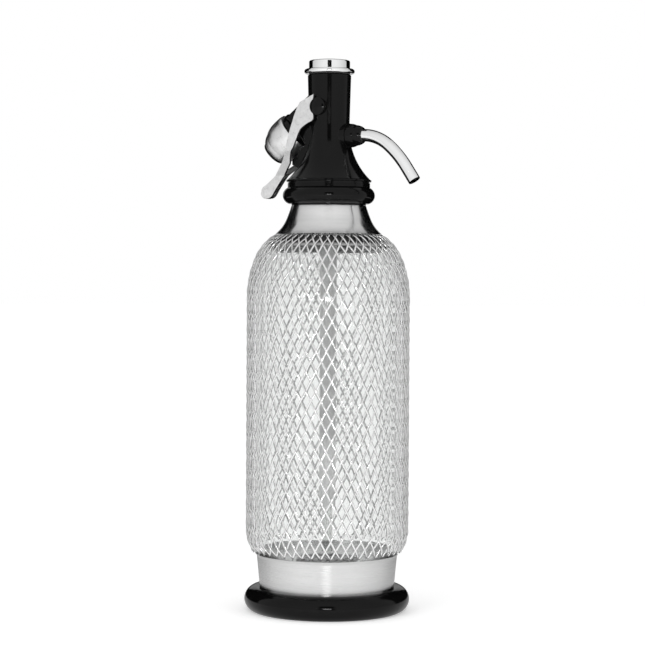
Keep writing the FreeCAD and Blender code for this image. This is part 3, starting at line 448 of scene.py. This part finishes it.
def room_level(tree, place):
    """How bright the room looks in a reflection: bright on the camera's side, grey behind the part."""
    direction = add_node(tree, "VectorMath", {0: place}, operation="NORMALIZE").outputs[0]
    camera_side = round_the_part(0, 1.0, 0.0)
    front = add_node(tree, "VectorMath", {0: direction, 1: camera_side}, operation="DOT_PRODUCT")
    level = add_node(tree, "MapRange", {"Value": front.outputs["Value"], "From Min": -1.0,
                                        "From Max": 0.8, "To Min": 0.44, "To Max": 1.0})
    rays = add_node(tree, "LightPath", {}).outputs
    mirrored = maths(tree, "SUBTRACT", rays["Is Glossy Ray"], rays["Is Transmission Ray"])
    ends = {MIX_NUMBER_A: 1.0, MIX_NUMBER_B: level.outputs[0]}
    return add_node(tree, "Mix", {"Factor": mirrored, **ends}).outputs[0]


FLOOR_RADIUS = 12.0
FLOOR_CORNERS = 96
FLOOR_LIFT = 0.36


def make_floor():
    """A pale floor that looks white from the camera, keeps the shadow and darkens in reflections."""
    made = Finish("pale_floor", Specular_IOR_Level=0.1)
    cloud = made.noise(3.0, 2.0)
    room = room_level(made.tree, made.point((1, 1, 0)))
    lift = made.add("Math", {0: looking_past(made.tree), 1: FLOOR_LIFT}, operation="MULTIPLY")
    glow = made.add("Math", {0: lift, 1: room}, operation="MULTIPLY")
    pale = made.tones(cloud, grey(0.955), grey(0.965))
    tone = made.add("VectorMath", {0: pale, 1: room}, operation="MULTIPLY")
    finish = made.paint(Base_Color=tone, Roughness=0.8, Emission_Color=(1, 1, 1, 1),
                        Emission_Strength=glow)
    points = []
    for corner in range(FLOOR_CORNERS):
        turn = 2 * math.pi * corner / FLOOR_CORNERS
        points.append((FLOOR_RADIUS * math.cos(turn), FLOOR_RADIUS * math.sin(turn), 0))
    mesh = bpy.data.meshes.new("floor")
    mesh.from_pydata(points, [], [tuple(range(FLOOR_CORNERS))])
    mesh.materials.append(finish)
    link("floor", mesh)


AMBIENT_LEVEL = 0.72


def make_world():
    """Ambient light for the surfaces, and the room where the camera, gloss and glass look past."""
    world = bpy.data.worlds.new("studio")
    world.use_nodes = True
    tree = world.node_tree
    white = (1, 1, 1, 1)
    ambient = tree.nodes["Background"]
    join(tree, ambient, {"Color": white, "Strength": AMBIENT_LEVEL})
    around = add_node(tree, "TexCoord", {}).outputs["Generated"]
    room = add_node(tree, "Background", {"Color": white, "Strength": room_level(tree, around)})
    mix = add_node(tree, "MixShader", {0: looking_past(tree), 1: ambient.outputs[0], 2: room.outputs[0]})
    join(tree, tree.nodes["World Output"], {"Surface": mix.outputs[0]})
    bpy.context.scene.world = world


def make_lamp(name, power, width, height, place, in_reflections):
    """A soft rectangular lamp aimed at the middle of the part, out of the camera's sight."""
    lamp = bpy.data.lights.new(name, "AREA")
    lamp.shape = "RECTANGLE"
    lamp.size = width
    lamp.size_y = height
    lamp.energy = power
    thing = link(name, lamp)
    towards(thing, place, (0, 0, 0.17))
    thing.visible_camera = False
    thing.visible_glossy = in_reflections


def make_flag(name, width, height, place, target, through_glass):
    """A flat black card that only reflections see, and glass too where that is asked."""
    made = Finish(name + "_card", Specular_IOR_Level=0.0)
    across = width / 2
    up = height / 2
    corners = [(-across, -up, 0), (across, -up, 0), (across, up, 0), (-across, up, 0)]
    mesh = bpy.data.meshes.new(name)
    mesh.from_pydata(corners, [], [(0, 1, 2, 3)])
    mesh.materials.append(made.paint(Base_Color=(0, 0, 0, 1), Roughness=1.0))
    card = link(name, mesh)
    towards(card, place, target)
    card.visible_camera = False
    card.visible_diffuse = False
    card.visible_shadow = False
    card.visible_transmission = through_glass


# Name, power, width, height, azimuth from the camera, distance, height off the floor, in reflections
LAMPS = [
    ("key", 5.0, 0.8, 1.2, -38, 1.7, 0.75, False),
    ("fill", 2.5, 0.8, 1.2, 48, 1.8, 0.55, False),
    ("lens_lamp", 1.7, 0.22, 0.09, 0, 1.19, 0.215, True),
]

# Name, width, height, azimuth, distance, height off the floor, height it faces, seen through glass
FLAGS = [
    ("camera_gap", 0.52, 1.3, 0, 1.35, 0.25, 0.25, True),
    ("left_flag", 1.25, 1.6, -136, 1.2, 0.55, 0.55, False),
    ("right_flag", 1.25, 1.6, 136, 1.2, 0.55, 0.55, False),
    ("high_back_flag", 1.4, 1.5, 180, 1.1, 1.15, 0.4, False),
    ("low_back_flag", 1.2, 0.75, 180, 0.55, 0.045, 5.0, False),
]


def make_studio():
    make_floor()
    make_world()
    for name, power, width, height, azimuth, distance, rise, in_reflections in LAMPS:
        make_lamp(name, power, width, height, round_the_part(azimuth, distance, rise), in_reflections)
    for name, width, height, azimuth, distance, rise, faces, through_glass in FLAGS:
        place = round_the_part(azimuth, distance, rise)
        make_flag(name, width, height, place, (0, 0, faces), through_glass)


CAMERA_DISTANCE = 1.2
CAMERA_HEIGHT = 0.201
CAMERA_AIM_HEIGHT = 0.1725
CAMERA_SHIFT = -0.0034
CAMERA_ROLL = math.radians(0.31)
FRAME_WIDTH = 0.387


def make_camera():
    """The photograph's view: from the front right, almost level, with a long lens."""
    camera = bpy.data.cameras.new("camera")
    camera.sensor_width = 36.0
    camera.lens = camera.sensor_width * CAMERA_DISTANCE / FRAME_WIDTH
    camera.clip_start = 0.05
    camera.clip_end = 60.0
    shift = Vector((math.cos(VIEW_AZIMUTH), math.sin(VIEW_AZIMUTH), 0)) * CAMERA_SHIFT
    place = round_the_part(0, CAMERA_DISTANCE, CAMERA_HEIGHT) + shift
    target = shift + Vector((0, 0, CAMERA_AIM_HEIGHT))
    turn = (target - place).to_track_quat("-Z", "Y").to_matrix()
    thing = link("camera", camera)
    thing.location = place
    thing.rotation_euler = (turn @ Matrix.Rotation(CAMERA_ROLL, 3, "Z")).to_euler()
    bpy.context.scene.camera = thing


def main():
    dress_nodes()
    make_mesh_wires()
    make_studio()
    make_camera()
    bpy.context.scene.view_settings.view_transform = "Standard"


main()
